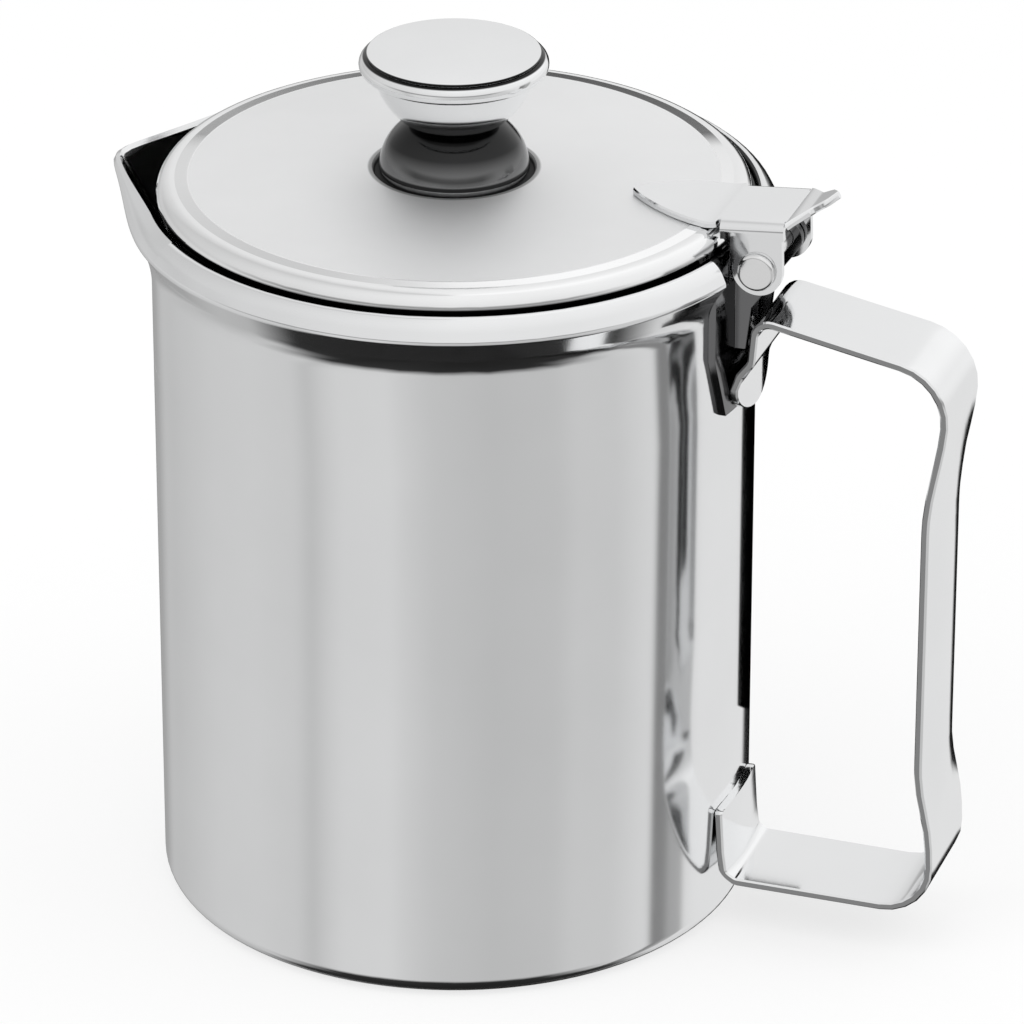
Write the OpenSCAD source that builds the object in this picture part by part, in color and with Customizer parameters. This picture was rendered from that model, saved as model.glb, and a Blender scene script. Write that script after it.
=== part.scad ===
// Hot milk jug with a hinged, knobbed lid. Millimetres, +Z up.
// The origin is the centre of the resting face under the base; +X points to the handle
// and -X to the pouring spout. The jug is mirror symmetric about Y = 0.

/* [Body] */
// Outer radius of the straight wall
body_radius = 45; // [35:0.5:60]
// Height of the mouth crest above the table
body_height = 112; // [90:0.5:150]
// Sheet thickness of the drawn body
body_sheet = 0.8; // [0.5:0.05:1.2]
// Outer corner radius between wall and base
base_corner = 3; // [1.5:0.1:6]
// Width of the outer ring the jug stands on
foot_ring_width = 3.5; // [2:0.1:6]
// Rise of the stiffening ring pressed up into the base
base_rise = 1.2; // [0.6:0.1:2.5]
// Width of that ring's flat top
base_ring_width = 5; // [3:0.5:9]
// Radial run of each sloped side of the ring
base_step_run = 2; // [1:0.1:4]

/* [Rim] */
// How far the rim fold stands out from the wall
rim_reach = 3.4; // [2:0.1:5]
// Drop from the mouth crest to the rim fold
rim_drop = 3.4; // [2.4:0.1:5]
// Drop from the mouth crest to the foot of the flare
flare_drop = 8.4; // [6.5:0.1:12]
// Rounding radius of the rim fold
fold_radius = 0.9; // [0.8:0.05:1.4]
// Radial width of the ledge the lid lies over
ledge_width = 1.7; // [1.2:0.1:2.5]
// Depth of the ledge under the mouth crest
ledge_drop = 1.0; // [0.6:0.05:1.6]
// Half width of the gap in the rim for the hinge
hinge_gap_half = 13; // [12.4:0.1:15]

/* [Spout] */
// Half angle over which the spout leaves the round rim
spout_half_angle = 34; // [28:0.5:36]
// Rounding of the spout nose, as an angle about the jug axis
spout_nose_angle = 3; // [2:0.25:7]
// Drop of the spout nose under the mouth crest
spout_nose_drop = 1.2; // [0:0.1:3]
// Extra depth of the flare under the spout nose
spout_keel_drop = 11; // [6:0.5:18]
// Width of the turned lip at the nose
spout_lip_width = 1.05; // [0.95:0.05:1.4]

/* [Lid] */
// Gap between the lid's edge and the mouth crest, measured radially
lid_gap = 1.2; // [1:0.05:1.5]
// Sheet thickness of the lid
lid_sheet = 0.8; // [0.5:0.05:1]
// Radius of the rounded lid shoulder
lid_shoulder = 2.6; // [1.6:0.1:4]
// Rise of the dome from shoulder to middle
lid_rise = 1.3; // [0.6:0.1:3]
// Air gap between lid edge and ledge
lid_air = 0.3; // [0.25:0.05:0.6]
// Straight edge height under the shoulder
lid_edge = 0.5; // [0.3:0.05:1]
// Radius of the pressed seat under the knob
knob_seat_radius = 12.2; // [11.8:0.1:14]
// Depth of that seat
knob_seat_depth = 0.7; // [0.4:0.05:1.2]

/* [Knob] */
// Radius of the knob's round flange
knob_radius = 14; // [12.5:0.1:18]
// Height of the knob above its seat
knob_height = 19.8; // [17:0.1:26]
// Thickness of the rounded flange
knob_flange = 2.8; // [2:0.1:4]
// How far the domed top disc stays inside the flange
knob_disc_inset = 1.1; // [0.8:0.1:2.4]
// Dome rise of the top disc
knob_disc_rise = 0.9; // [0.3:0.05:2]
// How far the flange stands out over the bowl
knob_overhang = 2.2; // [1.6:0.1:3.4]
// Radius of the waist
knob_waist_radius = 6.8; // [5.5:0.1:8.5]
// Height of the waist above the seat
knob_waist_height = 8; // [6.5:0.1:10]
// Gap between the bell foot and the edge of its seat
knob_foot_gap = 1; // [0.6:0.1:2.6]
// Sheet thickness of the spun knob shells
knob_sheet = 0.7; // [0.5:0.05:1]

/* [Knob fixing] */
// Radius of the stud that holds the knob
stud_radius = 2; // [1.5:0.1:2.6]
// Radius of the stud's round head inside the bowl
stud_head_radius = 3.6; // [3:0.1:4.4]
// Height of that head
stud_head_height = 1.6; // [1:0.1:2.4]
// Length of the stud under the lid
stud_tail = 6; // [4.6:0.1:9]
// Washer outer radius
washer_radius = 4.6; // [3.8:0.1:6]
// Washer thickness
washer_thickness = 0.8; // [0.5:0.05:1.2]
// Nut width across flats
nut_flats = 7; // [6:0.1:9]
// Nut height
nut_height = 2.6; // [2:0.1:3.4]

/* [Handle strap] */
// Strap thickness
strap_thickness = 1.2; // [0.8:0.05:1.8]
// Strap width at its upper end
strap_width = 16; // [13:0.1:20]
// How much wider the strap gets to its lower end
strap_widening = 1.2; // [0:0.1:3]
// How far the grip's top corner stands out from the wall
grip_span = 33.6; // [28:0.2:48]
// How far the middle of the grip is drawn in
grip_bow = 1.4; // [0:0.1:4]
// Crown of the grip across its width
grip_crown = 1.5; // [0:0.1:2.6]
// Height of the bottom run above the table
strap_low_height = 7.8; // [4:0.1:20]
// Drop from the mouth crest to the strap where it leaves the hinge
strap_top_drop = 10.8; // [9.2:0.1:13]
// Slope of the top run, in degrees
top_run_slope = 10.7; // [4:0.1:16]
// Inner bend radius at the top outer corner
top_corner_radius = 8.5; // [5:0.1:14]
// Bend radius at the bottom outer corner
low_corner_radius = 7.5; // [4:0.1:14]
// Length of the upper end tab on the wall
top_tab_length = 7; // [5:0.1:12]
// Height of the lower end tab
low_tab_height = 12; // [8:0.1:16]
// How far the lower tab leans to the wall
low_tab_lean = 0.7; // [0.4:0.1:2.4]

/* [Hinge] */
// How far the hinge axis stands out from the wall
hinge_reach = 4.3; // [4:0.1:5.4]
// Drop from the mouth crest to the hinge axis
hinge_drop = 3; // [2.6:0.1:3.6]
// Shank radius of the rivet
rivet_radius = 1.5; // [1.2:0.05:1.9]
// Radial clearance of the rivet in its holes
rivet_clearance = 0.05; // [0.02:0.01:0.1]
// Radius of the rivet's flat round heads
rivet_head_radius = 2.85; // [2.4:0.05:3.2]
// Height of the rivet heads
rivet_head_height = 0.9; // [0.6:0.05:1.4]
// Outer half width of the bracket cheeks
cheek_half = 6.3; // [5.5:0.1:6.8]
// Sheet thickness of the bracket
bracket_sheet = 1.1; // [0.8:0.05:1.4]
// Drop from the mouth crest to the lower end of the bracket's plate
plate_drop = 26.4; // [25:0.1:28]
// Half width of the plate beside the hinge
plate_half = 12; // [9:0.1:12.2]
// Half width of the plate at its lower end
plate_low_half = 8.8; // [7:0.1:10]
// Drop from the mouth crest to the lower ends of the cheeks
cheek_drop = 16.4; // [14:0.1:17.4]
// Side play between cheeks and ears
ear_play = 0.3; // [0.2:0.05:0.5]

/* [Thumb lever] */
// Sheet thickness of the lever
lever_sheet = 1.1; // [0.8:0.05:1.3]
// Reach of the lever's leaf inwards over the lid, from the wall
leaf_reach = 17; // [11:0.5:19]
// Reach of the lever's tip outwards from the hinge axis
lever_tip_reach = 9.9; // [8:0.2:14.6]
// Height of the lever tip above the hinge axis
lever_tip_rise = 10.4; // [8.6:0.1:14]
// Rounding radius of the lever tip
lever_tip_radius = 2.6; // [1.6:0.1:3.5]
// Radius of the ear around the rivet
ear_radius = 3.8; // [3.4:0.1:4]
// Half length of the ear's fold line
ear_fold_half = 4.8; // [4.2:0.1:5.4]
// Outer bend radius of the fold
fold_bend = 1.6; // [1.4:0.05:2]
// Lift of the lever plate above the lid at the shoulder
lever_lift = 0.4; // [0.2:0.05:0.9]
// Slope of the lever plate over the hinge, in degrees
lever_slope = 5; // [0:0.5:9]

/* [Hidden] */
overrun = 1;
full_turn = 360;
half_turn = 180;
quarter_turn = 90;
exact = 96;
arc_steps = 6;
few_steps = 4;
fine_steps = 24;
spout_steps = 44;
half_share = 1 / 2;
tenth_share = 1 / 10;
hair = 0.1;
least_radius = 0.05;
nut_sides = 6;
mouth_lip = 0.4;
mouth_radius = body_radius + mouth_lip;
ledge_share = 0.8;
low_share = 2;
spout_sector = 45;
lap_inset = 0.02;
lap_depth = 0.5;
lap_rise = 0.18;
bulge_share = 0.11;
flare_radius = 7;
band_radius = 3.6;
crest_over = 0.38;
tight_radius = 0.2;
web_angle = 1;
keel_share = 3;
lip_radius = 0.4;
step_share = 0.6;
knob_cap_step = 0.4;
bowl_swell = 0.11;
foot_swell = 0.14;
riser_height = 9.7;
riser_lean = 0.6;
riser_bend = 2.2;
crest_bend = 2.4;
grip_bend = 60;
tab_bend = 1.8;
bow_share = 0.45;
low_bow_share = 0.3;
least_half = 0.4;
edge_break = 0.25;
grip_zone = 4;
crown_top_start = 7;
crown_top_run = 16;
crown_low_start = 11;
crown_low_run = 12;
longest_step = 3.2;
tab_round = 5;
low_tab_round = 1.4;
strap_across = 8;
plate_top_drop = 5.2;
plate_taper_drop = 16.6;
weld_gap = 0.03;
tab_fade = 2.6;
end_steps = 8;
cheek_foot = 1.7;
cheek_eye = 2.9;
cheek_slant = 28;
cheek_gap_share = 1.6;
brim_share = 0.4;
fold_shift = 1.1;
ear_step = 0.6;
neck_run = 0.4;
neck_share = 0.8;
neck_relief = 0.06;
lever_across = 2;
tip_share = 0.5;
tip_rise_share = 0.42;
leaf_bend = 6;
leaf_start = 0.4;
leaf_power = 0.75;
leaf_step = 1.1;

steel = [0.78, 0.79, 0.80];
bright = [0.86, 0.87, 0.88];

// Plane geometry: paths are lists of [radius, height] or [x, height] points.
function unit(v) = v / norm(v);
function left_of(v) = [-v[1], v[0]];
function bounded(x, low, high) = min(high, max(low, x));
function smooth(x) = x * x * (3 - 2 * x);
function mix(a, b, share) = a + (b - a) * share;
function heading(v) = atan2(v[1], v[0]);
function shorter_turn(a) = a > half_turn ? a - full_turn : a < -half_turn ? a + full_turn : a;

// One rounded corner at b between a and c, as steps + 1 points.
function bend(a, b, c, r, steps) =
    let (
        u = unit(a - b),
        v = unit(c - b),
        half = acos(bounded(u * v, -1, 1)) / 2,
        m = b + unit(u + v) * r / sin(half),
        from = heading(b + u * r / tan(half) - m),
        turn = shorter_turn(heading(b + v * r / tan(half) - m) - from)
    )
    [for (i = [0 : steps]) m + r * [cos(from + turn * i / steps), sin(from + turn * i / steps)]];

// A path through p with the inner corners rounded to the radii r.
function bent_path(p, r, steps) = [
    p[0],
    for (i = [1 : len(p) - 2]) each bend(p[i - 1], p[i], p[i + 1], r[i], steps),
    p[len(p) - 1]
];

// The corner points of the same sheet's other face, d to the left.
function mitred(p, d) = [
    for (i = [0 : len(p) - 1])
        let (
            into = unit(p[max(i, 1)] - p[max(i, 1) - 1]),
            out = unit(p[min(i + 1, len(p) - 1)] - p[min(i + 1, len(p) - 1) - 1]),
            side = unit(left_of(into) + left_of(out))
        )
        p[i] + side * d / (side * left_of(into))
];

// Corner radii of the other face: left bends shrink, right bends grow.
function other_radii(p, r, d) = [
    for (i = [0 : len(p) - 1])
        i == 0 || i == len(p) - 1 ? 0 :
        cross(p[i] - p[i - 1], p[i + 1] - p[i]) > 0 ? max(least_radius, r[i] - d) : r[i] + d
];

// Closed outline of a sheet with one face on p and thickness d to the left.
function sheet_outline(p, r, d, steps) = concat(
    bent_path(p, r, steps),
    reversed(bent_path(mitred(p, d), other_radii(p, r, d), steps))
);
function reversed(p) = [for (i = [len(p) - 1 : -1 : 0]) p[i]];

// Places that hang together: hinge, strap and lever follow the wall and the mouth crest.
hinge_x = body_radius + hinge_reach;
hinge_z = body_height - hinge_drop;
lid_radius = mouth_radius - lid_gap;
grip_reach = body_radius + grip_span;
strap_top_height = body_height - strap_top_drop;
riser_low_z = strap_top_height - riser_height;
cheek_low_z = body_height - cheek_drop;
lever_inner = body_radius - leaf_reach;
lever_tip = hinge_x + lever_tip_reach;

// Rim heights and the azimuth limits of its sectors.
flare_foot_z = body_height - flare_drop;
fold_z = body_height - rim_drop;
ledge_z = body_height - ledge_drop;
fold_x = body_radius + rim_reach;
ledge_outer = mouth_radius - body_sheet * ledge_share;
ledge_inner = ledge_outer - ledge_width;
rim_low_z = flare_foot_z - spout_keel_drop - rim_reach * low_share;
gap_angle = ceil(asin(hinge_gap_half / fold_x));
bulge = rim_drop * bulge_share;

// The rolled rim runs: wall, flare, fold, top band, crest, ledge.
rim_corners = [
    [body_radius, rim_low_z],
    [body_radius, flare_foot_z],
    [fold_x, fold_z],
    [(fold_x + mouth_radius) / 2 + bulge, (fold_z + body_height + crest_over) / 2 + bulge],
    [mouth_radius, body_height + crest_over],
    [ledge_outer, ledge_z],
    [ledge_inner, ledge_z]
];
rim_radii = [0, flare_radius, fold_radius, band_radius, fold_radius, tight_radius, 0];

// Drawn pot below the rim: base with its pressed ring, corner and straight wall.
module pot_wall() {
    foot_out = body_radius - base_corner;
    foot_in = foot_out - foot_ring_width;
    ring_out = foot_in - base_step_run;
    ring_in = ring_out - base_ring_width;
    disc = ring_in - base_step_run;
    corner_steps = few_steps * few_steps;
    corner_turns = [for (i = [1 : corner_steps]) quarter_turn * i / corner_steps];
    inner_corner = base_corner - body_sheet;
    outer = concat(
        [[0, 0], [disc, 0], [ring_in, base_rise], [ring_out, base_rise], [foot_in, 0], [foot_out, 0]],
        [for (t = corner_turns) [foot_out, base_corner] + base_corner * [sin(t), -cos(t)]],
        [[body_radius, rim_low_z]]
    );
    inner = concat(
        [[body_radius - body_sheet, rim_low_z]],
        [for (t = reversed(corner_turns)) [foot_out, base_corner] + inner_corner * [sin(t), -cos(t)]],
        [for (q = [
            [foot_out, 0], [foot_in, 0],
            [ring_out, base_rise], [ring_in, base_rise],
            [disc, 0], [0, 0]
        ]) q + [0, body_sheet]]
    );
    rotate_extrude($fn = exact) polygon(concat(outer, inner));
}

// Rolled rim between the hinge gap and the spout, on one side.
module rim_sector(from, web_from) {
    rotate_extrude(start = from, angle = half_turn - spout_sector - gap_angle, $fn = exact)
        polygon(sheet_outline(rim_corners, rim_radii, body_sheet, arc_steps));
    rotate_extrude(start = web_from, angle = web_angle, $fn = exact)
        polygon(concat(
            bent_path(rim_corners, rim_radii, arc_steps),
            [[ledge_inner, ledge_z - body_sheet],
             [body_radius - body_sheet, ledge_z - body_sheet],
             [body_radius - body_sheet, rim_low_z]]
        ));
}

// Plain wall with its ledge across the hinge gap.
module gap_sector() {
    corners = [[body_radius, rim_low_z], [body_radius, ledge_z], [ledge_inner, ledge_z]];
    reach = gap_angle + web_angle * half_share;
    rotate_extrude(start = -reach, angle = 2 * reach, $fn = exact)
        polygon(sheet_outline(corners, [0, fold_radius, 0], body_sheet, arc_steps));
}

// Spout: the rim's sheet drawn out to a rounded nose between two flat flanks.
function spout_side(turn) =
    max(0, spout_half_angle - sqrt(turn * turn + spout_nose_angle * spout_nose_angle));
function spout_share(turn) = smooth(spout_side(turn) / (spout_half_angle - spout_nose_angle));
function spout_lip(turn) = mouth_radius / cos(spout_side(turn));
function spout_corners(turn) =
    let (
        share = spout_share(turn),
        lip = [spout_lip(turn), body_height - spout_nose_drop * share],
        fold = lip + [
            mix(fold_x - mouth_radius, spout_lip_width, share),
            -mix(rim_drop, spout_lip_width, share)
        ],
        swell = mix(bulge, spout_lip_width * bulge_share, share)
    )
    [
        [body_radius, rim_low_z],
        [body_radius, flare_foot_z - spout_keel_drop * share],
        fold,
        (fold + lip) / 2 + [swell, swell],
        lip
    ];
function spout_radii(turn) =
    let (share = spout_share(turn))
    [0, mix(flare_radius, flare_radius * keel_share, share), mix(fold_radius, lip_radius, share),
     mix(band_radius, lip_radius, share), 0];
function spout_turn(i) = spout_sector * (2 * i / spout_steps - 1);

// The spout's sheet laps a hair inside the wall's sheet below.
spout_foot = [
    [body_radius - lap_inset, rim_low_z - lap_depth],
    [body_radius - lap_inset, rim_low_z + lap_inset],
    [body_radius, rim_low_z + lap_rise]
];
function spout_outline(turn) =
    let (
        plane = sheet_outline(spout_corners(turn), spout_radii(turn), body_sheet, arc_steps),
        both_faces = 2 * body_radius - body_sheet
    )
    concat(
        spout_foot,
        [for (i = [1 : len(plane) - 2]) plane[i]],
        reversed([for (q = spout_foot) [both_faces - q[0], q[1]]])
    );

module spout() {
    loft([for (i = [0 : spout_steps])
        let (turn = spout_turn(i))
        [for (p = spout_outline(turn)) [p[0] * cos(half_turn + turn), p[0] * sin(half_turn + turn), p[1]]]
    ]);
}

// A closed skin over rings of equal length; each ring is a sheet outline.
module loft(rings) {
    n = len(rings[0]);
    k = n / 2;
    last = len(rings) - 1;
    polyhedron(
        points = [for (ring = rings) each ring],
        faces = concat(
            [for (i = [0 : last - 1], j = [0 : n - 1])
                [i * n + j, i * n + (j + 1) % n, (i + 1) * n + (j + 1) % n, (i + 1) * n + j]],
            [for (j = [0 : k - 2]) [j, n - 1 - j, n - 2 - j, j + 1]],
            [for (j = [0 : k - 2])
                [last * n + j, last * n + j + 1, last * n + n - 2 - j, last * n + n - 1 - j]]
        )
    );
}

module body_shell() {
    color(steel) union() {
        pot_wall();
        rim_sector(gap_angle, gap_angle);
        rim_sector(spout_sector - half_turn, -gap_angle - web_angle);
        gap_sector();
        spout();
    }
}

// Lid: seat for the knob, low dome, rounded shoulder, short edge.
lid_low_z = ledge_z + lid_air;
shoulder_x = lid_radius - lid_shoulder;
shoulder_z = lid_low_z + lid_edge + lid_shoulder;
function dome_z(r) = shoulder_z + lid_rise * (1 - r * r / (shoulder_x * shoulder_x));
seat_z = dome_z(knob_seat_radius) - knob_seat_depth;
seat_step = knob_seat_depth * step_share;
lid_hole = stud_radius + hair;

function lid_top() = concat(
    [[lid_hole, seat_z], [knob_seat_radius - seat_step, seat_z]],
    [for (i = [0 : fine_steps])
        let (r = mix(knob_seat_radius, shoulder_x, i / fine_steps)) [r, dome_z(r)]],
    [for (i = [1 : 2 * arc_steps])
        [shoulder_x, shoulder_z - lid_shoulder]
        + lid_shoulder * [sin(quarter_turn * i / 2 / arc_steps), cos(quarter_turn * i / 2 / arc_steps)]],
    [[lid_radius, lid_low_z]]
);

module lid_shell() {
    top = lid_top();
    color(bright)
        rotate_extrude($fn = exact)
            polygon(concat(top, reversed(mitred(top, -lid_sheet))));
}

// Knob: a bell foot, a bowl on its waist and a cap with a rounded flange.
waist_z = seat_z + knob_waist_height;
cap_z = seat_z + knob_height;
flange_r = knob_flange / 2;
knob_disc_radius = knob_radius - knob_disc_inset;
knob_bowl_radius = knob_radius - knob_overhang;
knob_foot_radius = knob_seat_radius - knob_foot_gap;
flange_z = cap_z - knob_disc_rise - knob_cap_step - flange_r;
bowl_top_z = flange_z - flange_r;

// An arc from a to b that swells to the left of a-b by the share of its length.
function swelling(a, b, share, steps) =
    let (along = b - a, side = left_of(along))
    [for (i = [0 : steps])
        let (t = i / steps) a + along * t + side * share * 4 * t * (1 - t)];

module knob_cap() {
    disc_z = cap_z - knob_disc_rise;
    outer = concat(
        [for (i = [0 : 2 * arc_steps])
            let (t = i / 2 / arc_steps) [knob_disc_radius * t, cap_z - knob_disc_rise * t * t]],
        [[knob_disc_radius, disc_z - knob_cap_step]],
        [for (i = [0 : 2 * arc_steps])
            [knob_radius - flange_r, flange_z]
            + flange_r * [sin(half_turn * i / 2 / arc_steps), cos(half_turn * i / 2 / arc_steps)]],
        [[knob_bowl_radius - knob_sheet, bowl_top_z]]
    );
    inner_r = flange_r - knob_sheet;
    inner = concat(
        [[knob_bowl_radius - knob_sheet, bowl_top_z + knob_sheet]],
        [for (i = [2 * arc_steps : -1 : 0])
            [knob_radius - flange_r, flange_z]
            + inner_r * [sin(half_turn * i / 2 / arc_steps), cos(half_turn * i / 2 / arc_steps)]],
        [for (i = [2 * arc_steps : -1 : 0])
            let (t = i / 2 / arc_steps)
            [(knob_disc_radius - knob_sheet) * t, cap_z - knob_disc_rise * t * t - knob_sheet]]
    );
    color(bright) rotate_extrude($fn = exact) polygon(concat(outer, inner));
}

module knob_bowl() {
    outer = concat(
        [[stud_radius + hair, waist_z]],
        swelling([knob_waist_radius, waist_z], [knob_bowl_radius, bowl_top_z], -bowl_swell, 2 * arc_steps)
    );
    inner = concat(
        swelling([knob_bowl_radius - knob_sheet, bowl_top_z],
            [knob_waist_radius - knob_sheet * 2, waist_z + knob_sheet], bowl_swell, 2 * arc_steps),
        [[stud_radius + hair, waist_z + knob_sheet]]
    );
    color(bright) rotate_extrude($fn = exact) polygon(concat(outer, inner));
}

module knob_foot() {
    outer = concat(
        [[stud_radius + hair, waist_z]],
        swelling([knob_waist_radius, waist_z], [knob_foot_radius, seat_z], foot_swell, 2 * arc_steps)
    );
    inner = concat(
        swelling([knob_foot_radius - knob_sheet, seat_z],
            [knob_waist_radius - knob_sheet * 2, waist_z - knob_sheet], -foot_swell, 2 * arc_steps),
        [[stud_radius + hair, waist_z - knob_sheet]]
    );
    color(bright) rotate_extrude($fn = exact) polygon(concat(outer, inner));
}

module knob_stud() {
    low_z = seat_z - lid_sheet - stud_tail;
    head_z = waist_z + knob_sheet;
    color(steel) union() {
        translate([0, 0, low_z])
            cylinder(r = stud_radius, h = head_z - low_z + overrun * tenth_share, $fn = exact);
        translate([0, 0, head_z])
            cylinder(r = stud_head_radius, h = stud_head_height, $fn = exact);
    }
}

module knob_washer() {
    low_z = seat_z - lid_sheet - washer_thickness;
    color(steel) difference() {
        translate([0, 0, low_z]) cylinder(r = washer_radius, h = washer_thickness, $fn = exact);
        translate([0, 0, low_z - overrun])
            cylinder(r = stud_radius + hair, h = washer_thickness + 2 * overrun, $fn = exact);
    }
}

module knob_nut() {
    low_z = seat_z - lid_sheet - washer_thickness - nut_height;
    color(steel) difference() {
        translate([0, 0, low_z])
            cylinder(r = nut_flats / 2 / cos(half_turn / nut_sides), h = nut_height, $fn = nut_sides);
        translate([0, 0, low_z - overrun])
            cylinder(r = stud_radius + hair, h = nut_height + 2 * overrun, $fn = exact);
    }
}

// Handle: one bent strap, crowned across the grip.
top_wall = body_radius + bracket_sheet;
top_tab_x = top_wall + weld_gap + strap_thickness / 2;
low_tab_x = body_radius + weld_gap + strap_thickness / 2;
riser_x = hinge_x;
run_drop = (grip_reach - hinge_x) * tan(top_run_slope);
top_corner_z = strap_top_height - run_drop;
grip_mid_z = (top_corner_z + strap_low_height) / 2;
grip_half = (top_corner_z - strap_low_height) / 2;
strap_path_corners = [
    [top_tab_x, riser_low_z - top_tab_length],
    [top_tab_x, riser_low_z],
    [riser_x - riser_lean, riser_low_z + (riser_x - top_tab_x)],
    [riser_x, strap_top_height],
    [grip_reach, top_corner_z],
    [grip_reach - grip_bow, grip_mid_z + grip_half * bow_share],
    [grip_reach - grip_bow, grip_mid_z - grip_half * bow_share],
    [grip_reach - grip_bow * low_bow_share, strap_low_height],
    [low_tab_x + low_tab_lean, strap_low_height],
    [low_tab_x, strap_low_height + low_tab_height]
];
strap_radii = [0, riser_bend, riser_bend, crest_bend, top_corner_radius,
    grip_bend, grip_bend, low_corner_radius, tab_bend, 0];

// The same path with close steps over its two rounded ends.
function with_ends(p, first_round, last_round, n) =
    let (
        last = len(p) - 1,
        in_first = unit(p[1] - p[0]) * first_round,
        in_last = unit(p[last - 1] - p[last]) * last_round,
        eased = [for (k = [0 : n - 1]) 1 - cos(quarter_turn * k / n)]
    )
    concat(
        [for (k = [0 : n - 1]) p[0] + in_first * eased[k]],
        stepped(concat([p[0] + in_first], inner(p), [p[last] + in_last]), longest_step),
        [for (k = [n - 1 : -1 : 0]) p[last] + in_last * eased[k]]
    );
function inner(p) = [for (i = [1 : len(p) - 2]) p[i]];

// The same path with no step longer than the given length.
function stepped(p, longest) = [
    p[0],
    for (i = [1 : len(p) - 1])
        let (n = ceil(norm(p[i] - p[i - 1]) / longest))
        each [for (j = [1 : n]) p[i - 1] + (p[i] - p[i - 1]) * j / n]
];
function ahead(p, i) = unit(p[min(i + 1, len(p) - 1)] - p[max(i - 1, 0)]);
function run_length(p, i) = i == 0 ? 0 : norm(p[i] - p[i - 1]) + run_length(p, i - 1);

// Half width close to a rounded end: s from the end, rounded over depth.
function end_width(half, s, depth, power) =
    s >= depth ? half : max(least_half, half * pow(1 - pow((depth - s) / depth, power), 1 / power));

// One strap section across Y: centre p, outward side n, crown sinks the edges.
function section(p, n, half, t, crown, across) =
    let (
        c = min(edge_break, t / few_steps),
        face = [for (j = [0 : across]) (half - c) * (2 * j / across - 1)],
        sink = [for (y = face) -crown * y * y / (half * half)]
    )
    concat(
        [[p + n * (t / 2 - c - crown), -half]],
        [for (j = [0 : across]) [p + n * (t / 2 + sink[j]), face[j]]],
        [[p + n * (t / 2 - c - crown), half]],
        [[p + n * (c - t / 2 - crown), half]],
        [for (j = [across : -1 : 0]) [p + n * (sink[j] - t / 2), face[j]]],
        [[p + n * (c - t / 2 - crown), -half]]
    );
function placed(plane) = [for (q = plane) [q[0][0], q[1], q[0][1]]];

function grip_share(p) =
    p[0] < grip_reach - grip_zone ? 0 :
    smooth(bounded((top_corner_z - crown_top_start - p[1]) / crown_top_run, 0, 1))
    * smooth(bounded((p[1] - strap_low_height - crown_low_start) / crown_low_run, 0, 1));

// 1 on a tab, which is curved to the wall, fading to 0 where the tab's length ends.
function tab_share(s, length) = 1 - smooth(bounded((s - length + tab_fade) / tab_fade, 0, 1));

module handle_strap() {
    bent = bent_path(strap_path_corners, strap_radii, arc_steps);
    path = with_ends(bent, tab_round, low_tab_round, end_steps);
    total = run_length(path, len(path) - 1);
    color(bright) loft([for (i = [0 : len(path) - 1])
        let (
            s = run_length(path, i),
            half = (strap_width + strap_widening * s / total) / 2,
            narrowed = min(
                end_width(half, s, tab_round, 2),
                end_width(half, total - s, low_tab_round, few_steps)
            ),
            wrap = narrowed * narrowed / 2 * (
                tab_share(s, top_tab_length) / top_wall
                + tab_share(total - s, low_tab_height) / body_radius
            )
        )
        placed(section(path[i], left_of(ahead(path, i)), narrowed, strap_thickness,
            grip_crown * grip_share(path[i]) - wrap, strap_across))
    ]);
}

// Hinge bracket: a shield plate curved to the wall, with two cheeks that hold the rivet.
cheek_in = cheek_half - bracket_sheet;
module hinge_bracket() {
    color(bright) difference() {
        union() {
            plate();
            cheek();
            mirror([0, 1, 0]) cheek();
        }
        cylinder(r = body_radius, h = body_height + overrun, $fn = exact);
        translate([hinge_x, cheek_half + overrun, hinge_z]) rotate([quarter_turn, 0, 0])
            cylinder(r = rivet_radius + rivet_clearance, h = 2 * cheek_half + 2 * overrun, $fn = exact);
    }
}

module plate() {
    low_z = body_height - plate_drop;
    taper_z = body_height - plate_taper_drop;
    top_z = body_height - plate_top_drop;
    plate_angle = ceil(asin(plate_half / body_radius));
    intersection() {
        rotate_extrude(start = -plate_angle, angle = 2 * plate_angle, $fn = exact)
            translate([body_radius - overrun, low_z])
                square([bracket_sheet + overrun, top_z - low_z]);
        rotate([quarter_turn, 0, quarter_turn])
            linear_extrude(body_radius + 2 * bracket_sheet)
                polygon([
                    [-plate_low_half, low_z - overrun],
                    [plate_low_half, low_z - overrun],
                    [plate_low_half, low_z],
                    [plate_half, taper_z],
                    [plate_half, top_z + overrun],
                    [-plate_half, top_z + overrun],
                    [-plate_half, taper_z],
                    [-plate_low_half, low_z]
                ]);
    }
}

module cheek() {
    translate([0, -cheek_in, 0]) rotate([quarter_turn, 0, 0]) {
        linear_extrude(bracket_sheet) polygon([
            [body_radius - overrun, cheek_low_z],
            [body_radius + cheek_foot, cheek_low_z],
            [riser_x - strap_thickness * cheek_gap_share, riser_low_z + riser_x - top_tab_x + cheek_foot],
            [riser_x - strap_thickness, strap_top_height + strap_thickness],
            [hinge_x + cheek_eye * cos(cheek_slant), hinge_z - cheek_eye * sin(cheek_slant)],
            [hinge_x, hinge_z],
            [hinge_x - cheek_eye * sin(cheek_slant), hinge_z + cheek_eye * cos(cheek_slant)],
            [body_radius - overrun, hinge_z + cheek_eye * cos(cheek_slant)]
        ]);
        translate([hinge_x, hinge_z, 0]) cylinder(r = cheek_eye, h = bracket_sheet, $fn = exact);
    }
}

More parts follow.
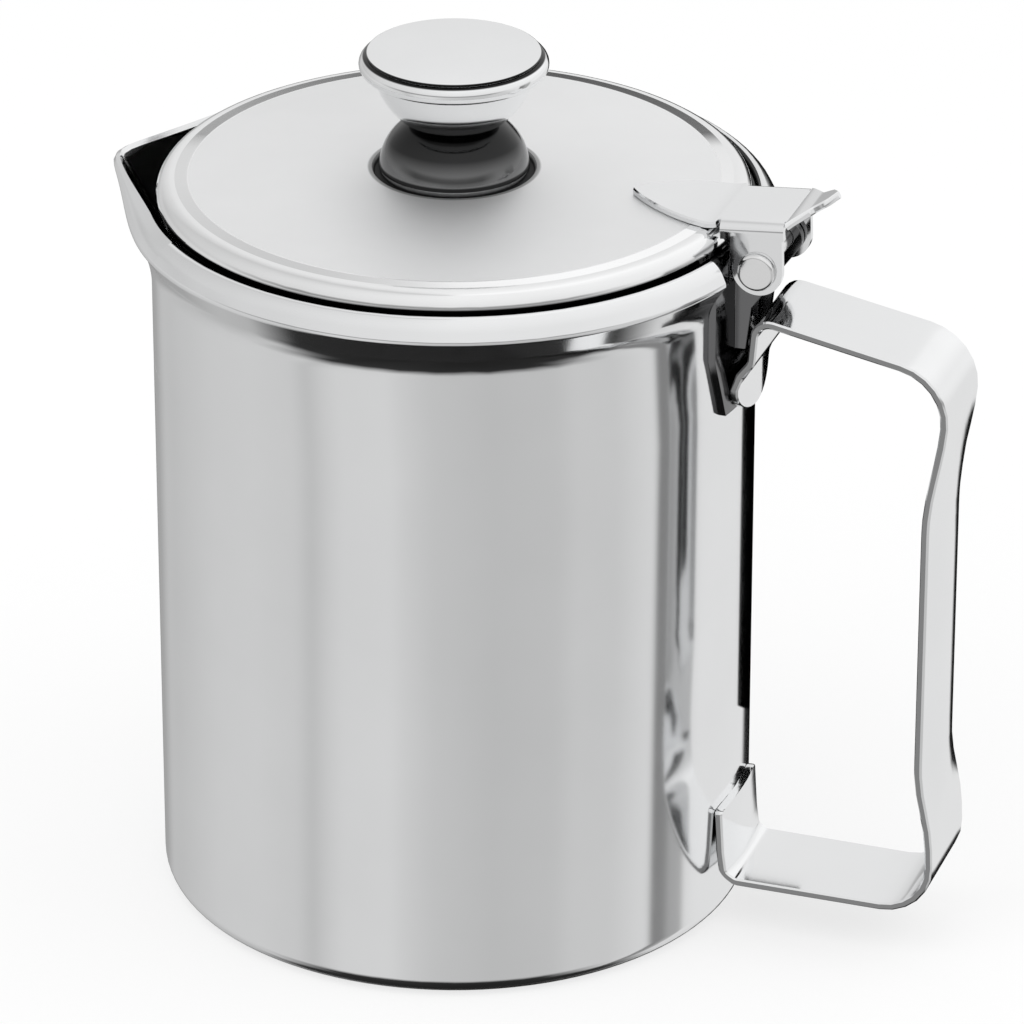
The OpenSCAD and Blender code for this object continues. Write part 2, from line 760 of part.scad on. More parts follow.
// Rivet: a shank with two broad flat heads.
ear_in = cheek_half + ear_play;
ear_out = ear_in + lever_sheet;
module hinge_rivet() {
    half = ear_out + ear_play / 2;
    color(steel) union() {
        translate([hinge_x, half + overrun * tenth_share, hinge_z]) rotate([quarter_turn, 0, 0])
            cylinder(r = rivet_radius, h = 2 * half + 2 * overrun * tenth_share, $fn = exact);
        for (side = [-1, 1])
            translate([hinge_x, side * half, hinge_z]) rotate([-side * quarter_turn, 0, 0])
                rivet_head();
    }
}
module rivet_head() {
    brim = rivet_head_height * brim_share;
    soft = rivet_head_height - brim;
    rotate_extrude($fn = exact) polygon(concat(
        [[0, 0], [rivet_head_radius, 0]],
        [for (i = [0 : arc_steps])
            let (turn = quarter_turn * i / arc_steps)
            [rivet_head_radius - soft, brim] + soft * [cos(turn), sin(turn)]],
        [[0, rivet_head_height]]
    ));
}

// Thumb lever: a leaf on the lid with two folded ears on the rivet.
lever_low_z = shoulder_z + lever_sheet / 2 + hair * half_share;
fold_in_x = hinge_x - ear_fold_half - fold_shift;
fold_out_x = hinge_x + ear_fold_half - fold_shift;
bridge_z = lever_low_z + lever_lift;
lever_corners = [
    [lever_inner, dome_z(lever_inner) + lever_sheet / 2 + hair * half_share],
    [shoulder_x, lever_low_z],
    [fold_in_x - hair, bridge_z],
    [fold_out_x + hair, bridge_z + (fold_out_x - fold_in_x) * tan(lever_slope)],
    [
        mix(fold_out_x, lever_tip, tip_share),
        mix(bridge_z + (fold_out_x - fold_in_x) * tan(lever_slope),
            hinge_z + lever_tip_rise, tip_rise_share)
    ],
    [lever_tip, hinge_z + lever_tip_rise]
];
lever_radii = [0, leaf_bend, leaf_bend, leaf_bend, leaf_bend, 0];

// How far x lies along the leaf, from 0 at its end on the lid to 1 at the fold.
function leaf_share(x) =
    bounded((x - lever_inner + leaf_start) / (fold_in_x - lever_inner + leaf_start), 0, 1);

// Half width of the leaf at x: it swells to the fold and tapers to the tip.
function leaf_half(x) =
    x < fold_in_x ? ear_out * pow(sin(quarter_turn * leaf_share(x)), leaf_power) :
    x <= fold_out_x ? ear_out - fold_bend :
    let (s = lever_tip - x, r = lever_tip_radius, slope = (ear_out - r) / (lever_tip - r - fold_out_x))
    s < r ? max(least_half, sqrt(max(0, r * r - (r - s) * (r - s)))) : r + slope * (s - r);

// The plate between the two folds is a straight sheet tilted by the lever's slope.
function fold_line_z(x) = bridge_z + (x - fold_in_x) * tan(lever_slope);
function neck_ring(x) = placed(section(
    [x, fold_line_z(x)],
    [-sin(lever_slope), cos(lever_slope)],
    ear_out - fold_bend - neck_relief,
    lever_sheet - neck_relief,
    0,
    lever_across
));
function leaf_ring(path, i) = placed(section(
    path[i],
    left_of(ahead(path, i)),
    leaf_half(path[i][0]),
    lever_sheet,
    0,
    lever_across
));

module thumb_lever() {
    path = stepped(bent_path(lever_corners, lever_radii, few_steps), leaf_step);
    inner = concat([for (p = path) if (p[0] < fold_in_x - 2 * neck_run) p],
        [[fold_in_x - neck_run, fold_line_z(fold_in_x - neck_run)]]);
    outer = concat([[fold_out_x + neck_run, fold_line_z(fold_out_x + neck_run)]],
        [for (p = path) if (p[0] > fold_out_x + 2 * neck_run) p]);
    color(bright) union() {
        // the leaf over the lid
        loft(concat(
            [for (i = [0 : len(inner) - 1]) leaf_ring(inner, i)],
            [neck_ring(fold_in_x - neck_run * neck_share), neck_ring(fold_in_x + neck_run)]
        ));
        // the thumb end
        loft(concat(
            [neck_ring(fold_out_x - neck_run), neck_ring(fold_out_x + neck_run * neck_share)],
            [for (i = [0 : len(outer) - 1]) leaf_ring(outer, i)]
        ));
        folded_plate();
        ear();
        mirror([0, 1, 0]) ear();
    }
}

// The plate with its rolled side folds.
module folded_plate() {
    inner_bend = fold_bend - lever_sheet;
    flat_half = ear_out - fold_bend;
    translate([fold_in_x, 0, fold_line_z(fold_in_x) + lever_sheet / 2])
        rotate([0, -lever_slope, 0]) rotate([quarter_turn, 0, quarter_turn])
            linear_extrude((fold_out_x - fold_in_x) / cos(lever_slope)) {
                translate([-flat_half, -lever_sheet]) square([2 * flat_half, lever_sheet]);
                for (side = [0, 1]) mirror([side, 0]) {
                    translate([flat_half, -fold_bend]) intersection() {
                        difference() {
                            circle(r = fold_bend, $fn = exact);
                            circle(r = inner_bend, $fn = exact);
                        }
                        square(fold_bend);
                    }
                    translate([ear_in, -fold_bend - overrun]) square([lever_sheet, overrun]);
                }
            }
}

// An ear: flat cheek under the fold with a round eye for the rivet.
module ear() {
    low_z = fold_line_z(fold_in_x) + lever_sheet / 2 - fold_bend;
    rise = (fold_out_x - fold_in_x) * tan(lever_slope);
    difference() {
        translate([0, -ear_in, 0]) rotate([quarter_turn, 0, 0]) {
            linear_extrude(lever_sheet) polygon([
                [fold_in_x + hair, low_z - hair],
                [fold_in_x + ear_step, low_z - ear_step],
                [hinge_x - ear_radius, hinge_z + ear_radius * half_share],
                [hinge_x - ear_radius, hinge_z],
                [hinge_x, hinge_z - hair],
                [hinge_x + ear_radius, hinge_z],
                [fold_out_x - hair, low_z + rise - hair]
            ]);
            translate([hinge_x, hinge_z, 0]) cylinder(r = ear_radius, h = lever_sheet, $fn = exact);
        }
        translate([hinge_x, 0, hinge_z]) rotate([quarter_turn, 0, 0])
            cylinder(r = rivet_radius + rivet_clearance, h = ear_out + overrun, $fn = exact);
    }
}

body_shell();
handle_strap();
hinge_bracket();
hinge_rivet();
thumb_lever();
lid_shell();
knob_cap();
knob_bowl();
knob_foot();
knob_stud();
knob_washer();
knob_nut();
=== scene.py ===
"""Hot milk jug with hinged lid: finishes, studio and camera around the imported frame."""
import math
from functools import reduce

import bpy
from mathutils import Matrix, Vector

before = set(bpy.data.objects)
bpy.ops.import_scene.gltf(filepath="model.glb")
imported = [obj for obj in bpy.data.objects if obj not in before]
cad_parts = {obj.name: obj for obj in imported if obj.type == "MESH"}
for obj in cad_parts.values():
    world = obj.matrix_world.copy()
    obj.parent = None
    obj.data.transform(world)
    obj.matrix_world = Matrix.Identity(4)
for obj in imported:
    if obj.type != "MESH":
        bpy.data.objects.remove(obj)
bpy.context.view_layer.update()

IMAGE_PX = 1024
MM = 0.001
MICRON = 0.000001
WHITE, BLACK = (1, 1, 1, 1), (0, 0, 0, 1)


# ---------------------------------------------------------------- sizes of the jug
def extent(name):
    """A node's least and greatest distance from the jug's axis, and its top, in millimetres."""
    points = [vertex.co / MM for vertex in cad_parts[name].data.vertices]
    radii = [point.xy.length for point in points]
    return min(radii), max(radii), max(point.z for point in points)


RIM_TOP = extent("body_shell")[2]
WALL_RADIUS = extent("hinge_bracket")[0]    # the bracket's plate lies on the wall
LID_RADIUS, LID_TOP = extent("lid_shell")[1:]
FOOT_RADIUS = extent("knob_foot")[1]
CAP_RADIUS = extent("knob_cap")[1]


# ---------------------------------------------------------------- node helpers
def new_tree(owner):
    """A material's or world's node tree, emptied."""
    owner.use_nodes = True
    owner.node_tree.nodes.clear()
    return owner.node_tree


def socket(node, name):
    """The input by name or number; of a mix node's many inputs of one name, the one in use."""
    if isinstance(name, int):
        return node.inputs[name]
    return next(s for s in node.inputs if s.name == name and s.enabled)


def add(tree, kind, inputs=None, **settings):
    """A node with settings; inputs maps a socket to a value or to another node's output."""
    node = tree.nodes.new(kind)
    for name, value in settings.items():
        setattr(node, name, value)
    for name, value in (inputs or {}).items():
        if isinstance(value, bpy.types.NodeSocket):
            tree.links.new(value, socket(node, name))
        else:
            socket(node, name).default_value = value
    return node


def calculate(tree, operation, a, b=0.0):
    return add(tree, "ShaderNodeMath", {0: a, 1: b}, operation=operation).outputs[0]


def times(tree, *values):
    return reduce(lambda a, b: calculate(tree, "MULTIPLY", a, b), values)


def plus(tree, *values):
    return reduce(lambda a, b: calculate(tree, "ADD", a, b), values)


def minus(tree, a, b):
    return calculate(tree, "SUBTRACT", a, b)


def fade(tree, value, start, end, before, after, smooth=False):
    """A level that goes from before to after while value goes from start to end."""
    return add(tree, "ShaderNodeMapRange",
               {"Value": value, "From Min": start, "From Max": end, "To Min": before, "To Max": after},
               interpolation_type="SMOOTHSTEP" if smooth else "LINEAR").outputs[0]


def ramp(tree, value, stops):
    """A grey ramp over stops of (position, level)."""
    node = add(tree, "ShaderNodeValToRGB", {0: value})
    elements = node.color_ramp.elements
    elements.remove(elements[-1])
    for number, (position, level) in enumerate(stops):
        element = elements.new(position) if number else elements[0]
        element.position = position
        element.color = (level, level, level, 1)
    return node.outputs[0]


def noise(tree, place, pattern):
    """Noise at a place; the pattern is its scale per metre, its detail and its roughness."""
    scale, detail, roughness = pattern
    return add(tree, "ShaderNodeTexNoise",
               {"Vector": place, "Scale": scale, "Detail": detail, "Roughness": roughness}).outputs["Fac"]


def mix(tree, share, a, b, blend="MIX"):
    """Colour a, with colour b blended into it by the share."""
    return add(tree, "ShaderNodeMix", {"Factor": share, "A": a, "B": b},
               data_type="RGBA", blend_type=blend).outputs[2]


# ---------------------------------------------------------------- smooth shading
WELD_DISTANCE = 2 * MICRON
SHARP_ANGLE = math.radians(32)
BEVEL_ANGLE = math.radians(40)
BEVEL_SEGMENTS = 3
NORMAL_WEIGHT = 90


def smooth_group():
    """Welds the imported faces' seams and shades smooth, but for edges past the sharp angle."""
    group = bpy.data.node_groups.new("smooth_shading", "GeometryNodeTree")
    for way in ("INPUT", "OUTPUT"):
        group.interface.new_socket("Geometry", in_out=way, socket_type="NodeSocketGeometry")
    start = add(group, "NodeGroupInput").outputs[0]
    weld = add(group, "GeometryNodeMergeByDistance", {"Geometry": start, "Distance": WELD_DISTANCE})
    smooth = add(group, "GeometryNodeSetShadeSmooth", {"Geometry": weld.outputs[0]}, domain="FACE")
    angle = add(group, "GeometryNodeInputMeshEdgeAngle").outputs[0]
    sharp = add(group, "FunctionNodeCompare", {0: angle, 1: SHARP_ANGLE},
                data_type="FLOAT", operation="GREATER_THAN").outputs[0]
    crease = add(group, "GeometryNodeSetShadeSmooth",
                 {"Geometry": smooth.outputs[0], "Selection": sharp, "Shade Smooth": False},
                 domain="EDGE")
    add(group, "NodeGroupOutput", {0: crease.outputs[0]})
    return group


def shade_smooth(node, group, edge_mm):
    """Smooth shading for a node, with its edges rounded by so many millimetres."""
    modifier = node.modifiers.new("smooth", "NODES")
    modifier.node_group = group
    if edge_mm:
        bevel = node.modifiers.new("soft_edges", "BEVEL")
        bevel.width = edge_mm * MM
        bevel.segments = BEVEL_SEGMENTS
        bevel.limit_method = "ANGLE"
        bevel.angle_limit = BEVEL_ANGLE
        bevel.harden_normals = False
    weighted = node.modifiers.new("weighted", "WEIGHTED_NORMAL")
    weighted.mode = "FACE_AREA"
    weighted.weight = NORMAL_WEIGHT
    weighted.keep_sharp = True


# ---------------------------------------------------------------- polished steel
# What polishing and handling leave on the metal, as noise: scale per metre, detail, roughness.
LINES = (1.0, 3.0, 0.60)
CLOUDS = (38.0, 4.0, 0.55)
WIPES = (210.0, 6.0, 0.62)
# How far each of them changes the metal's roughness.
ROUGH_LINES, ROUGH_CLOUDS, ROUGH_WIPES = 0.03, 0.06, 0.018
# The lines are stretched: so many to the radian round the jug, or so many to the metre.
LINES_ROUND, LINES_FINE, LINES_SLOW = 2.2, 26000.0, 60.0
STRIP_FINE = LINES_FINE / 3
# The metal has this brightness where the clouds' noise is at the first level, and at the second
# its full brightness.
CLOUD_LEVELS, CLOUD_BRIGHTNESS = (0.35, 0.65), 0.97
# What the painted shade in the groove round the lid leaves of the metal's brightness.
GROOVE_SHADE_BRIGHTNESS = 0.03
# Sheared edges get painted shade and are rougher: how far sideways their faces look, from the first sign
# to the full finish, then the painted shade's brightness and the added roughness.
CUT_FACING, CUT_SHADE_BRIGHTNESS, CUT_ROUGHNESS = (0.93, 0.99), 0.36, 0.25


def polishing_lines(tree, marks, place, radius):
    """Fine lines the way that the polishing went: round the jug's axis, or along a strip."""
    x, y, z = add(tree, "ShaderNodeSeparateXYZ", {0: place}).outputs
    if marks == "round":
        turn = calculate(tree, "ARCTAN2", y, x)
        stretched = (turn, LINES_ROUND), (radius, LINES_FINE), (z, LINES_FINE)
    else:
        stretched = (x, LINES_SLOW), (y, STRIP_FINE), (z, LINES_SLOW)
    parts = {number: times(tree, *pair) for number, pair in enumerate(stretched)}
    return noise(tree, add(tree, "ShaderNodeCombineXYZ", parts).outputs[0], LINES)


def shade_by(tree, value, steps):
    """Painted shade along a radius or height in metres; steps are (millimetres, brightness)."""
    first, last = steps[0][0], steps[-1][0]
    share = fade(tree, value, first * MM, last * MM, 0.0, 1.0)
    return ramp(tree, share, [((at - first) / (last - first), bright) for at, bright in steps])


def steel(name, colour, roughness, marks, marks_depth, anisotropic=0.0, satin=None,
          painted_shade_by_radius=None, painted_shade_by_level=None, groove=None, step=None, cut_edges=False):
    """Polished stainless steel, with painted shade where asked. Radii, heights and the step's drop are in
    millimetres.

    marks        the way that the polishing went: round or along
    marks_depth  how deep its lines are, in metres
    anisotropic  how far a highlight spreads across those marks
    satin        rougher inside a radius: how much, and where it starts and ends to fade
    painted_shade_by_radius    painted shade: how bright the metal is by its distance from the axis
    painted_shade_by_level     painted shade: how bright it is by its height
    groove       painted shade, all but black, above a height and within a radius
    step         a pressed step's inner radius, outer radius and drop
    cut_edges    faces that look sideways get painted shade and are rougher, as where a strip was sheared
    """
    material = bpy.data.materials.new(name)
    tree = new_tree(material)
    place = add(tree, "ShaderNodeTexCoord").outputs["Object"]
    x, y, z = add(tree, "ShaderNodeSeparateXYZ", {0: place}).outputs
    radius = calculate(tree, "SQRT", plus(tree, times(tree, x, x), times(tree, y, y)))
    lines = polishing_lines(tree, marks, place, radius)
    clouds = noise(tree, place, CLOUDS)
    wipes = noise(tree, place, WIPES)

    rough = roughness
    for pattern, change in (clouds, ROUGH_CLOUDS), (lines, ROUGH_LINES), (wipes, ROUGH_WIPES):
        rough = plus(tree, rough, times(tree, minus(tree, pattern, 0.5), change))
    if satin:
        more, start, end = satin
        rough = plus(tree, rough, fade(tree, radius, start * MM, end * MM, more, 0.0, smooth=True))

    tone_and_painted_shade = fade(tree, clouds, *CLOUD_LEVELS, CLOUD_BRIGHTNESS, 1.0)
    # Painted shade by radius and by height: dark lines and bands on the lid's edge, round the knob's
    # seat, on the cap's disc and on the knob's neck.
    if painted_shade_by_radius:
        tone_and_painted_shade = times(tree, tone_and_painted_shade, shade_by(tree, radius, painted_shade_by_radius))
    if painted_shade_by_level:
        tone_and_painted_shade = times(tree, tone_and_painted_shade, shade_by(tree, z, painted_shade_by_level))
    # Painted shade: all but black in the groove round the lid.
    if groove:
        above = calculate(tree, "GREATER_THAN", z, groove[0] * MM)
        within = calculate(tree, "LESS_THAN", radius, groove[1] * MM)
        dark = times(tree, above, within, 1 - GROOVE_SHADE_BRIGHTNESS)
        tone_and_painted_shade = times(tree, tone_and_painted_shade, minus(tree, 1.0, dark))
    # Painted shade on faces that look sideways, which are also made rougher, as sheared edges are.
    if cut_edges:
        facing = add(tree, "ShaderNodeNewGeometry").outputs["True Normal"]
        side = add(tree, "ShaderNodeSeparateXYZ", {0: facing}).outputs["Y"]
        edge_shade_and_dullness = fade(tree, calculate(tree, "ABSOLUTE", side), *CUT_FACING, 1.0, CUT_SHADE_BRIGHTNESS)
        tone_and_painted_shade = times(tree, tone_and_painted_shade, edge_shade_and_dullness)
        rough = plus(tree, rough, times(tree, minus(tree, 1.0, edge_shade_and_dullness), CUT_ROUGHNESS))
    base = add(tree, "ShaderNodeVectorMath", {0: colour, "Scale": tone_and_painted_shade}, operation="SCALE").outputs[0]

    relief = {"Strength": 1.0, "Distance": marks_depth, "Height": lines}
    if step:
        inner, outer, drop = step
        fall = fade(tree, radius, inner * MM, outer * MM, 1.0, 0.0)
        pressed = {"Strength": 1.0, "Distance": drop * MM, "Height": fall}
        relief["Normal"] = add(tree, "ShaderNodeBump", pressed).outputs[0]
    normal = add(tree, "ShaderNodeBump", relief).outputs[0]

    finish = {"Base Color": base, "Roughness": rough, "Normal": normal, "Metallic": 1.0}
    if anisotropic:
        tangent = add(tree, "ShaderNodeTangent", direction_type="RADIAL", axis="Z")
        finish.update({"Anisotropic": anisotropic, "Tangent": tangent.outputs[0]})
    shader = add(tree, "ShaderNodeBsdfPrincipled", finish)
    add(tree, "ShaderNodeOutputMaterial", {0: shader.outputs[0]})
    return material


# ---------------------------------------------------------------- the jug's finishes and painted shade
STEEL, LID_STEEL = (0.86, 0.865, 0.87), (0.90, 0.903, 0.906)
STRIP_STEEL, KNOB_STEEL = (0.87, 0.875, 0.88), (0.88, 0.885, 0.89)
# The hinge's steel is painted far darker than the rest: painted shade and painted reflection on the
# bracket.
SHADED_HINGE_STEEL, FIXING_STEEL = (0.17, 0.17, 0.173), (0.84, 0.84, 0.84)

# The cup's inside is rougher than its outside, and the groove round the lid gets painted shade, all but
# black.
CUP_SATIN, CUP_SATIN_FROM, CUP_SATIN_TO = 0.26, WALL_RADIUS - 0.7, WALL_RADIUS - 0.3
GROOVE_FLOOR, GROOVE_RADIUS = RIM_TOP - 2.4, LID_RADIUS + 1.25

# The lid's dome is satin up to a pressed step near the edge.
LID_SATIN, LID_SATIN_FROM, LID_SATIN_TO = 0.46, LID_RADIUS - 5.1, LID_RADIUS - 4.6
STEP_IN, STEP_OUT, STEP_DROP = LID_RADIUS - 4.7, LID_RADIUS - 2.9, 0.7

# Painted shade, as (millimetres beyond a size, brightness): the lid's edge down in the groove, the
# line round the knob's seat, the line where the cap's disc meets its flange, and the knob's neck.
EDGE_SHADE_BEYOND_RIM = [(-2.0, 0.03), (0.1, 0.03), (0.4, 1.0), (4.0, 1.0)]
SEAT_SHADE_BEYOND_FOOT = [(-1.2, 1.0), (-0.5, 1.0), (-0.2, 0.02), (0.7, 0.02),
                    (0.9, 0.40), (1.4, 0.50), (1.7, 1.0), (2.0, 1.0)]
DISC_SHADE_BEYOND_CAP = [(-2.0, 1.0), (-1.25, 1.0), (-1.15, 0.02), (-0.65, 0.02), (-0.5, 1.0), (0.2, 1.0)]
NECK_SHADE_BEYOND_LID = [(-1.6, 1.0), (0.3, 1.0), (0.4, 0.03), (0.9, 0.03), (1.1, 0.24),
                   (3.0, 0.16), (4.6, 0.04), (7.9, 0.03), (8.4, 1.0), (15.4, 1.0)]

# How far sheet edges are rounded, in millimetres. The other nodes' edges stay as modelled.
SOFT_EDGES = {"hinge_bracket": 0.15, "hinge_rivet": 0.2, "knob_cap": 0.15}


def beyond(size, steps):
    """Steps counted from a size of the jug, as steps counted from the axis or the table."""
    return [(size + distance, bright) for distance, bright in steps]


def dress():
    """Gives each node its finish, some with painted shade, smooth shading and soft edges."""
    body = steel("body_polish", STEEL, roughness=0.10, marks="round", marks_depth=0.04 * MICRON,
                 anisotropic=0.35, satin=(CUP_SATIN, CUP_SATIN_FROM, CUP_SATIN_TO),
                 groove=(GROOVE_FLOOR, GROOVE_RADIUS))
    lid = steel("lid_polish", LID_STEEL, roughness=0.08, marks="round", marks_depth=0.03 * MICRON,
                anisotropic=0.2, satin=(LID_SATIN, LID_SATIN_FROM, LID_SATIN_TO),
                step=(STEP_IN, STEP_OUT, STEP_DROP),
                painted_shade_by_radius=beyond(FOOT_RADIUS, SEAT_SHADE_BEYOND_FOOT),
                painted_shade_by_level=beyond(RIM_TOP, EDGE_SHADE_BEYOND_RIM))
    knob = steel("knob_polish", KNOB_STEEL, roughness=0.05, marks="round", marks_depth=0.02 * MICRON,
                 painted_shade_by_radius=beyond(CAP_RADIUS, DISC_SHADE_BEYOND_CAP))
    neck = steel("knob_neck", KNOB_STEEL, roughness=0.10, marks="round", marks_depth=0.02 * MICRON,
                 painted_shade_by_level=beyond(LID_TOP, NECK_SHADE_BEYOND_LID))
    strap = steel("strap_polish", STRIP_STEEL, roughness=0.09, marks="along",
                  marks_depth=0.04 * MICRON, cut_edges=True)
    lever = steel("lever_polish", STRIP_STEEL, roughness=0.09, marks="along",
                  marks_depth=0.04 * MICRON)
    # The hinge bracket's dark steel is painted shade and painted reflection.
    hinge = steel("hinge_painted_shade", SHADED_HINGE_STEEL, roughness=0.12, marks="along",
                  marks_depth=0.06 * MICRON)
    fixing = steel("fixing_turned", FIXING_STEEL, roughness=0.14, marks="round",
                   marks_depth=0.1 * MICRON)
    finishes = {
        "body_shell": body, "handle_strap": strap, "hinge_bracket": hinge, "hinge_rivet": fixing,
        "thumb_lever": lever, "lid_shell": lid, "knob_cap": knob, "knob_bowl": neck,
        "knob_foot": neck, "knob_stud": fixing, "knob_washer": fixing, "knob_nut": fixing,
    }
    smooth = smooth_group()
    for name, material in finishes.items():
        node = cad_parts[name]
        node.data.materials.clear()
        node.data.materials.append(material)
        shade_smooth(node, smooth, SOFT_EDGES.get(name, 0))


# ---------------------------------------------------------------- studio
CAMERA_AZIMUTH = 19.14

# Tones by the height of a direction, from -1 straight down to 1 straight up.
SIDES = [(-1, 0.02), (-0.88, 0.03), (-0.80, 0.60), (-0.62, 0.68), (-0.2, 0.70),
         (0, 0.82), (0.3, 0.95), (1, 1.0)]
FRONT = [(-1, 0.02), (-0.78, 0.03), (-0.62, 0.66), (-0.12, 0.70), (0, 0.55),
         (0.06, 0.30), (0.16, 0.42), (0.26, 0.88), (1, 1.0)]
BACK = [(-1, 0.01), (-0.12, 0.01), (-0.02, 0.2), (0.06, 0.86), (0.5, 0.90), (1, 1.0)]

# By the turn about the jug, from -180 to 180 degrees off the camera's side: how much the front's
# and the back's tones count, and how bright the low cards and the light overhead are.
IN_FRONT = [(-180, 0), (-96, 0), (-62, 1), (44, 1), (70, 0), (180, 0)]
BEHIND = [(-180, 1), (-172, 0.35), (-160, 0.3), (-148, 0), (152, 0), (157, 1), (180, 1)]
LOW_CARDS = [(-180, 0.8), (-138, 0.83), (-106, 0.98), (-84, 1.02), (-64, 0.99), (-57, 0.86),
             (-50, 1.00), (-44, 1.08), (-25, 1.10), (-20, 1.03), (-8, 0.92), (15, 0.85),
             (39, 0.88), (47, 0.96), (64, 0.95), (75, 1.05), (82.5, 1.14), (84, 0.30),
             (91, 0.40), (93, 0.60), (100.5, 0.62), (102, 1.15), (110, 1.22), (150, 1.2), (180, 0.8)]
HIGH_LIGHT = [(-180, 0.97), (-140, 0.66), (-80, 0.82), (0, 0.97), (80, 0.98), (140, 1.10), (180, 0.97)]

# Between these heights of a direction the low cards give way to the light overhead.
LOW_END, HIGH_START = -0.1, 0.15

FLOOR_SIZE = 6.0
FLOOR_GREY = (0.93, 0.93, 0.93, 1)
FLOOR_SEEN_WHITE = 0.7

# The upright black card: its near and far side, how far behind the jug's middle plane it stands,
# and its low and high end.
FLAG_NEAR, FLAG_FAR = (WALL_RADIUS - 3.4) * MM, (WALL_RADIUS + 5.2) * MM
FLAG_BEHIND = 18 * MM
FLAG_LOW, FLAG_HIGH = 23.5 * MM, (RIM_TOP - 8) * MM

LAMPS_AIM = Vector((0, 0, 60 * MM))


def in_scene(name, data):
    """A new object of the data, in the scene."""
    thing = bpy.data.objects.new(name, data)
    bpy.context.scene.collection.objects.link(thing)
    return thing


def direction(azimuth, elevation):
    """The way from the jug to a viewer at these angles, in radians."""
    return Vector((math.sin(azimuth) * math.cos(elevation),
                   -math.cos(azimuth) * math.cos(elevation), math.sin(elevation)))


def by_height(tree, height, stops):
    return ramp(tree, height, [((z + 1) / 2, level) for z, level in stops])


def by_turn(tree, around, stops):
    return ramp(tree, around, [((a + 180) / 360, level) for a, level in stops])


def studio_world():
    """White for the eye. The metal sees a bright tent with tall cards round it, a dark room
    behind the camera, a dim far edge of the table and a dark place straight below."""
    world = bpy.data.worlds.new("studio")
    bpy.context.scene.world = world
    tree = new_tree(world)
    place = add(tree, "ShaderNodeTexCoord").outputs["Generated"]
    to_camera = (0, 0, math.radians(90 - CAMERA_AZIMUTH))
    turned = add(tree, "ShaderNodeMapping", {"Vector": place, "Rotation": to_camera}).outputs[0]
    around = add(tree, "ShaderNodeTexGradient", {"Vector": turned}, gradient_type="RADIAL").outputs["Fac"]
    level = add(tree, "ShaderNodeSeparateXYZ", {0: place}).outputs[2]
    height = fade(tree, level, -1.0, 1.0, 0.0, 1.0)
    low = fade(tree, level, LOW_END, HIGH_START, 1.0, 0.0, smooth=True)

    tent = mix(tree, by_turn(tree, around, IN_FRONT), by_height(tree, height, SIDES),
               by_height(tree, height, FRONT))
    room = mix(tree, by_turn(tree, around, BEHIND), tent, by_height(tree, height, BACK))
    below = mix(tree, low, room, by_turn(tree, around, LOW_CARDS), blend="MULTIPLY")
    lit = mix(tree, minus(tree, 1.0, low), below, by_turn(tree, around, HIGH_LIGHT), blend="MULTIPLY")

    metal = add(tree, "ShaderNodeBackground", {"Color": lit, "Strength": 1.0})
    eye = add(tree, "ShaderNodeBackground", {"Color": WHITE, "Strength": 1.0})
    seen = add(tree, "ShaderNodeLightPath").outputs["Is Camera Ray"]
    both = add(tree, "ShaderNodeMixShader", {0: seen, 1: metal.outputs[0], 2: eye.outputs[0]})
    add(tree, "ShaderNodeOutputWorld", {0: both.outputs[0]})


def floor():
    """A pale floor. The eye sees it nearer to white, with the jug's shadow still on it."""
    bpy.ops.mesh.primitive_plane_add(size=FLOOR_SIZE, location=(0, 0, 0))
    plane = bpy.context.object
    plane.name = "studio_floor"
    material = bpy.data.materials.new("pale_floor")
    tree = new_tree(material)
    paint = add(tree, "ShaderNodeBsdfDiffuse", {"Color": FLOOR_GREY})
    glow = add(tree, "ShaderNodeEmission", {"Color": WHITE, "Strength": 1.0})
    seen = add(tree, "ShaderNodeLightPath").outputs["Is Camera Ray"]
    share = times(tree, seen, FLOOR_SEEN_WHITE)
    mixed = add(tree, "ShaderNodeMixShader", {0: share, 1: paint.outputs[0], 2: glow.outputs[0]})
    add(tree, "ShaderNodeOutputMaterial", {0: mixed.outputs[0]})
    plane.data.materials.append(material)
    plane.visible_glossy = False


def dark_flag():
    """A narrow black card behind the handle, seen in the metal alone, for the wall's dark edge."""
    mesh = bpy.data.meshes.new("dark_flag")
    corners = [(x, FLAG_BEHIND, z) for x, z in ((FLAG_NEAR, FLAG_LOW), (FLAG_FAR, FLAG_LOW),
                                                (FLAG_FAR, FLAG_HIGH), (FLAG_NEAR, FLAG_HIGH))]
    mesh.from_pydata(corners, [], [(0, 1, 2, 3)])
    flag = in_scene("dark_flag", mesh)
    material = bpy.data.materials.new("flag_black")
    tree = new_tree(material)
    shader = add(tree, "ShaderNodeEmission", {"Color": BLACK})
    add(tree, "ShaderNodeOutputMaterial", {0: shader.outputs[0]})
    mesh.materials.append(material)
    flag.visible_camera = flag.visible_diffuse = flag.visible_shadow = flag.visible_transmission = False


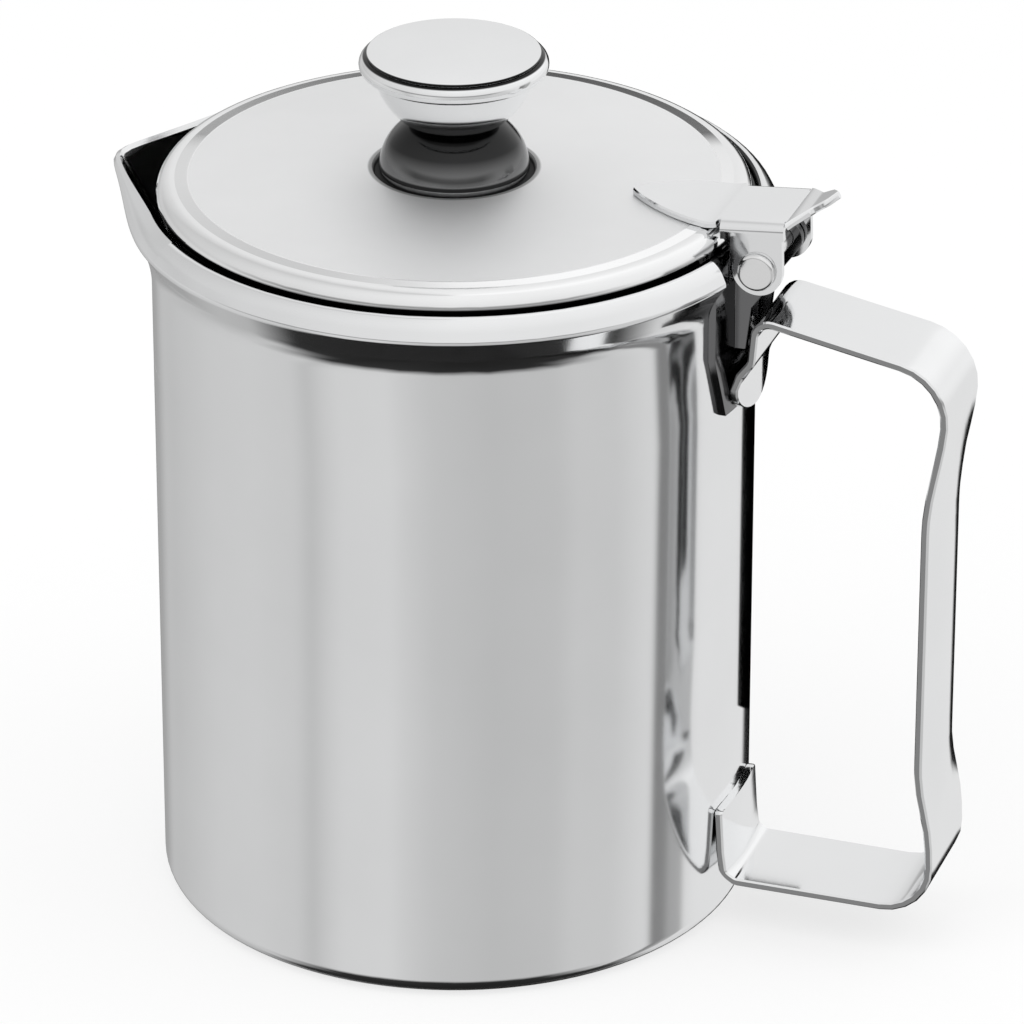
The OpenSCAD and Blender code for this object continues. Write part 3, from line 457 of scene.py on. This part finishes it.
def softbox(name, azimuth, elevation, distance, size, power):
    """A square soft light aimed at the jug's middle, which the eye and the metal don't see.
    Angles are in degrees, distance and size in metres, power in watts."""
    light = bpy.data.lights.new(name, "AREA")
    light.shape = "SQUARE"
    light.size = size
    light.energy = power
    lamp = in_scene(name, light)
    back = direction(math.radians(azimuth), math.radians(elevation))
    lamp.location = LAMPS_AIM + back * distance
    lamp.rotation_mode = "QUATERNION"
    lamp.rotation_quaternion = (-back).to_track_quat("-Z", "Y")
    lamp.visible_camera = False
    lamp.visible_glossy = False


# ---------------------------------------------------------------- camera
CAMERA_ELEVATION, CAMERA_ROLL = 26.16, 0.03
CAMERA_DISTANCE = 1052.5 * MM
CAMERA_AIM = Vector((0, 0, 62 * MM))
SHIFT_RIGHT, SHIFT_UP = 8.54 * MM, -3.05 * MM
FOCAL_PX = 6970.0
SENSOR_WIDTH = 36
CLIP_START, CLIP_END = 0.05, 20


def camera():
    """A long lens from the handle's near side, a little above."""
    azimuth, roll = math.radians(CAMERA_AZIMUTH), math.radians(CAMERA_ROLL)
    back = direction(azimuth, math.radians(CAMERA_ELEVATION))
    right = Vector((math.cos(azimuth), math.sin(azimuth), 0))
    up = back.cross(right)
    turned_right = right * math.cos(roll) + up * math.sin(roll)
    turned_up = up * math.cos(roll) - right * math.sin(roll)
    data = bpy.data.cameras.new("camera")
    data.sensor_width = SENSOR_WIDTH
    data.lens = FOCAL_PX * SENSOR_WIDTH / IMAGE_PX
    data.clip_start, data.clip_end = CLIP_START, CLIP_END
    eye = in_scene("camera", data)
    place = CAMERA_AIM + right * SHIFT_RIGHT + up * SHIFT_UP + back * CAMERA_DISTANCE
    turn = Matrix((turned_right, turned_up, back)).transposed().to_4x4()
    eye.matrix_world = Matrix.Translation(place) @ turn
    bpy.context.scene.camera = eye


dress()
studio_world()
floor()
dark_flag()
softbox("key", azimuth=-35, elevation=62, distance=1.3, size=1.1, power=4.5)
softbox("fill", azimuth=95, elevation=50, distance=1.5, size=0.9, power=2.4)
camera()
bpy.context.scene.view_settings.view_transform = "Standard"
